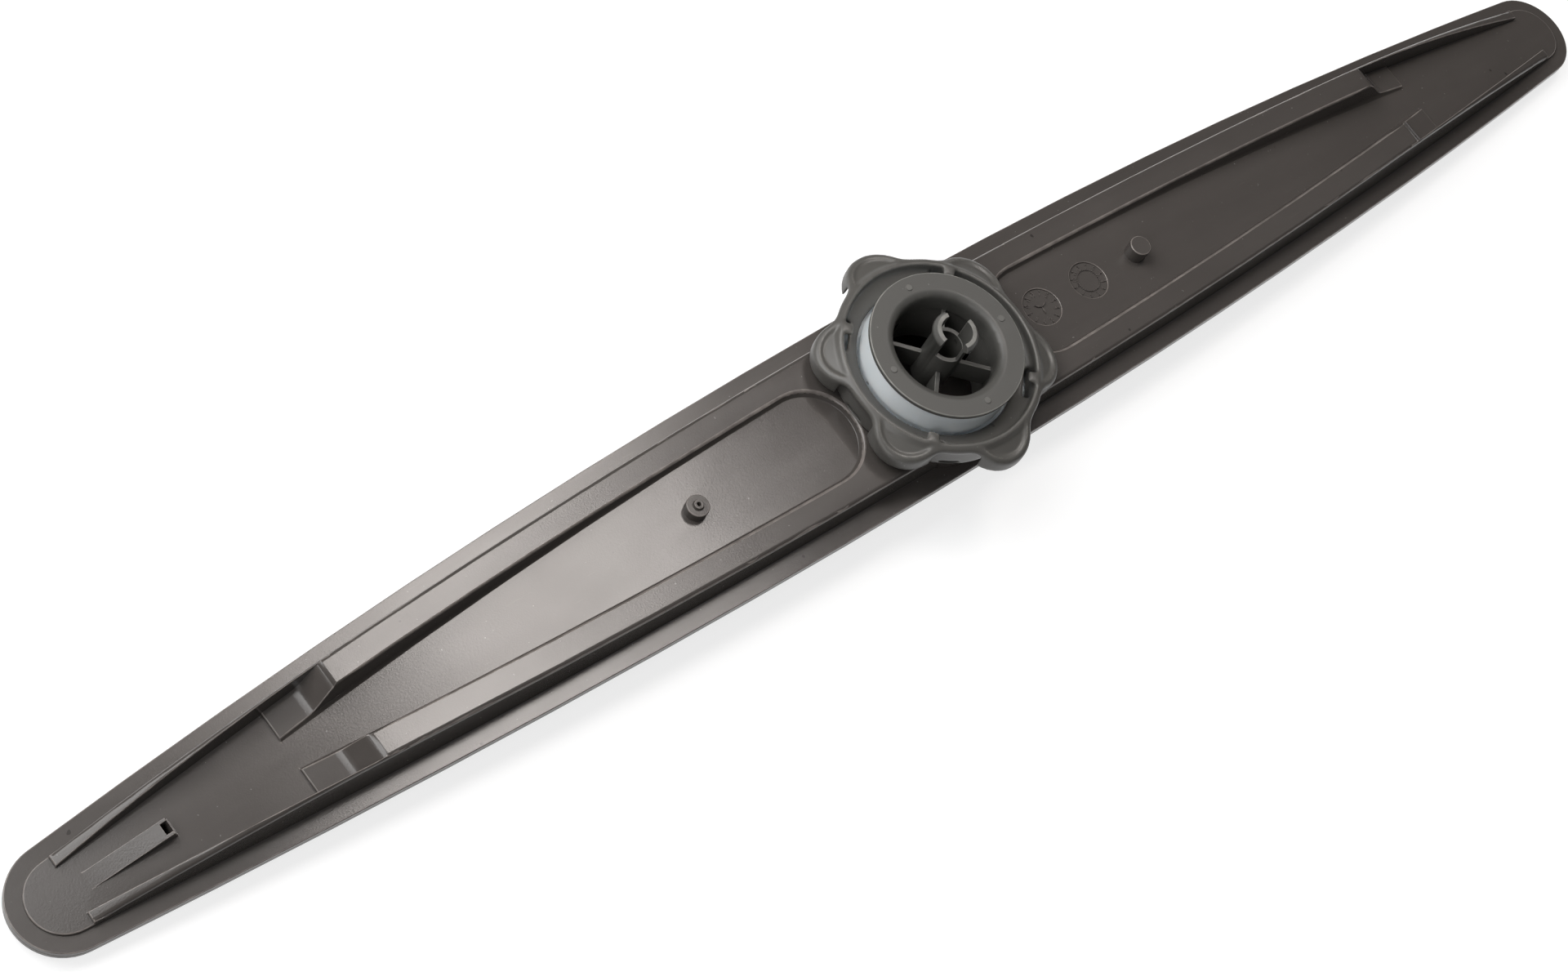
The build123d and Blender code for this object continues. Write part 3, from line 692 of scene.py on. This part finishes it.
def dial_number(number, centre):
    """One raised month number, upright on its spoke of the dial."""
    curve = bpy.data.curves.new("month", "FONT")
    curve.body = str(number)
    curve.size = NUMBER_SIZE
    curve.extrude = NUMBER_RISE
    curve.resolution_u = 2
    curve.align_x, curve.align_y = "CENTER", "CENTER"
    holder = bpy.data.objects.new("month", curve)
    scene.collection.objects.link(holder)
    evaluated = holder.evaluated_get(bpy.context.evaluated_depsgraph_get())
    mesh = bpy.data.meshes.new_from_object(evaluated)
    bpy.data.objects.remove(holder)
    spoke = Matrix.Rotation(-number * math.tau / 12, 4, "Z")
    mesh.transform(Matrix.Translation(centre) @ spoke @ Matrix.Translation((0, NUMBER_CIRCLE, 0)))
    return mesh


def dial(place, inner):
    """The marks of one date insert: ticks, month numbers and its middle."""
    floor = Vector((place, 0, top_of(hub_skin, place, 0)))
    seat = floor + Vector((0, 0, TICK["rise"] / 2 - MARK_SINK))
    marks = [stamped_marks(seat, 0, count=12, material=arm_plastic, **TICK)]
    marks.append(stamped_marks(seat, INNER_TURN, material=arm_plastic, **inner))
    marks.extend(dial_number(number, floor + Vector((0, 0, MARK_SINK))) for number in range(1, 13))
    return marks


bpy.context.view_layer.update()
dial_marks = dial(DIAL_PLACES[0] * MM, {"count": 3, **POINTER})
dial_marks += dial(DIAL_PLACES[1] * MM, {"count": 36, **INNER_RING})
joined_piece("date_dial_marks", dial_marks, arm_plastic, "arm", DIAL_PALENESS)

# %% Ejector marks on the collar
EJECTOR_CIRCLE = 15.2 * MM
EJECTOR = {"radius": EJECTOR_CIRCLE, "reach": 1.7 * MM, "width": 1.7 * MM, "rise": 0.2 * MM, "sides": 28}
EJECTOR_TURN = math.radians(-4)
# painted highlight: the ejector discs are made paler so they read as lit spots
EJECTOR_HIGHLIGHT = 0.3
flange = Vector((0, 0, top_of(collar_skin, EJECTOR_CIRCLE, 0)))
ejectors = stamped_marks(flange, EJECTOR_TURN, count=4, material=collar_plastic, **EJECTOR)
joined_piece("ejector_marks", [ejectors], collar_plastic, "collar", EJECTOR_HIGHLIGHT)

# %% [markdown]
# ## White ground
# A product photograph on white has a bright floor, a broad soft box and a softer fill. More light would burn
# the floor to white but wash out the plastic, so the floor is a plain grey that glows a little for the lens
# and in mirrored rays, and it keeps the soft shadow under the arm.


# %% Floor
FLOOR_TONE = 0.36
FLOOR_LIFT = 0.75
FLOOR_DROP = -0.05 * MM
FLOOR_REACH = 6.0


def white_floor():
    """A large pale floor whose camera view is lifted to white outside the shadow."""
    material, tree, shader = new_material("white_ground")
    shader.inputs["Base Color"].default_value = (FLOOR_TONE, FLOOR_TONE, FLOOR_TONE, 1)
    shader.inputs["Roughness"].default_value = 0.9
    shader.inputs["Specular IOR Level"].default_value = 0.1
    path = tree.nodes.new("ShaderNodeLightPath")
    seen = math_node(tree, "MAXIMUM", path.outputs["Is Camera Ray"], path.outputs["Is Glossy Ray"])
    seen = math_node(tree, "MAXIMUM", seen, path.outputs["Is Transmission Ray"])
    lift = math_node(tree, "MULTIPLY", seen, FLOOR_LIFT)
    shader.inputs["Emission Color"].default_value = (1, 1, 1, 1)
    tree.links.new(lift, shader.inputs["Emission Strength"])
    mesh = bpy.data.meshes.new("ground")
    side = (-FLOOR_REACH, FLOOR_REACH)
    corners = [(x, y, FLOOR_DROP) for y in side for x in side]
    mesh.from_pydata(corners, [], [(0, 1, 3, 2)])
    mesh.materials.append(material)
    floor = bpy.data.objects.new("ground", mesh)
    scene.collection.objects.link(floor)
    print("ground is", 2 * FLOOR_REACH, "m wide")


white_floor()

# %% [markdown]
# ## Sky and lamps
# The sky is dim at the horizon and pale overhead, which leaves the far half of the arm deep. The key box
# gives the part its shape. The sheen box hangs where the near half of the arm mirrors it into the lens, which
# gives that half its long pale gleam. The low fill opens the shadows on the side of the lens. All lamps have
# a size, because a point lamp would give hard shadows and small hot spots.

# %% World
SKY_LOW = 0.03
SKY_HIGH = 0.24
SKY_TINT = (0.94, 1, 1.04, 1)
SKY_START, SKY_FULL = 0.6, 1.0
world = bpy.data.worlds.new("studio")
scene.world = world
world.use_nodes = True
sky = world.node_tree
background = sky.nodes["Background"]
background.inputs["Color"].default_value = SKY_TINT
ray = sky.nodes.new("ShaderNodeTexCoord")
split = sky.nodes.new("ShaderNodeSeparateXYZ")
sky.links.new(ray.outputs["Generated"], split.inputs["Vector"])
glow = remap(sky, split.outputs["Z"], SKY_START, SKY_FULL, SKY_LOW, SKY_HIGH)
sky.links.new(glow, background.inputs["Strength"])
print("sky from", SKY_LOW, "to", SKY_HIGH)


# %% Lamps
def soft_box(name, place, aim, size, watts, colour=(1, 1, 1)):
    """A rectangular area lamp at a place, turned to its aim with its first side along the arm."""
    lamp = bpy.data.lights.new(name, "AREA")
    lamp.shape = "RECTANGLE"
    lamp.size, lamp.size_y = size
    lamp.energy = watts
    lamp.color = colour
    holder = bpy.data.objects.new(name, lamp)
    away = (Vector(place) - Vector(aim)).normalized()
    across = (Vector((1, 0, 0)) - away.x * away).normalized()
    turn = Matrix((across, away.cross(across), away)).transposed().to_4x4()
    holder.matrix_world = Matrix.Translation(place) @ turn
    scene.collection.objects.link(holder)
    return holder


def along(azimuth, elevation, distance, centre=(0, 0, 0)):
    """A point seen from a centre in a given direction."""
    a, e = math.radians(azimuth), math.radians(elevation)
    step = Vector((math.cos(a) * math.cos(e), math.sin(a) * math.cos(e), math.sin(e)))
    return Vector(centre) + distance * step


LAMP_DISTANCE = 1.2
KEY_PLACE = along(128, 50, LAMP_DISTANCE)
FILL_PLACE = along(195, 36, LAMP_DISTANCE)
SHEEN_CENTRE = Vector((-0.095, 0, 0.018))
SHEEN_LEAN = Vector((math.tan(math.radians(21.0)), math.tan(math.radians(13.7)), 1)).normalized()
SHEEN_PLACE = SHEEN_CENTRE + 1.3 * SHEEN_LEAN
WARM = (1, 0.94, 0.9)
soft_box("key_box", KEY_PLACE, (0, 0, 0), (0.9, 0.9), 12.1)
soft_box("sheen_box", SHEEN_PLACE, SHEEN_CENTRE, (0.32, 0.36), 4.5, WARM)
soft_box("low_fill", FILL_PLACE, (0, 0, 0), (0.5, 0.5), 2.6)

# %% [markdown]
# ## The photograph's camera
# The view was fitted to the outline of the arm: the lens looks down at about fifty-seven degrees, rolled
# so that the arm runs across the picture's diagonal. A camera that tracks a target could not hold that roll,
# so the camera's three axes are built from those angles.

# %% Camera
AZIMUTH, ELEVATION, ROLL = (math.radians(angle) for angle in (-68.41, 56.78, 34.15))
CAMERA_PLACE = Vector((-403.8, -146.9, 605.0)) * MM
FOCAL_PIXELS = 4084.5
IMAGE_WIDTH = 1920.0
SENSOR_WIDTH = 36.0

back = Vector((
    math.sin(AZIMUTH) * math.cos(ELEVATION),
    -math.cos(AZIMUTH) * math.cos(ELEVATION),
    math.sin(ELEVATION),
))
level = Vector((math.cos(AZIMUTH), math.sin(AZIMUTH), 0))
rise = back.cross(level)
right = math.cos(ROLL) * level + math.sin(ROLL) * rise
up = -math.sin(ROLL) * level + math.cos(ROLL) * rise

lens = bpy.data.cameras.new("photo_view")
lens.sensor_fit = "HORIZONTAL"
lens.sensor_width = SENSOR_WIDTH
lens.lens = FOCAL_PIXELS / IMAGE_WIDTH * SENSOR_WIDTH
lens.clip_start = 0.01
camera = bpy.data.objects.new("photo_view", lens)
turn = Matrix((right, up, back)).transposed().to_4x4()
camera.matrix_world = Matrix.Translation(CAMERA_PLACE) @ turn
scene.collection.objects.link(camera)
scene.camera = camera
scene.view_settings.view_transform = "Standard"
print("lens", round(lens.lens, 2), "mm")
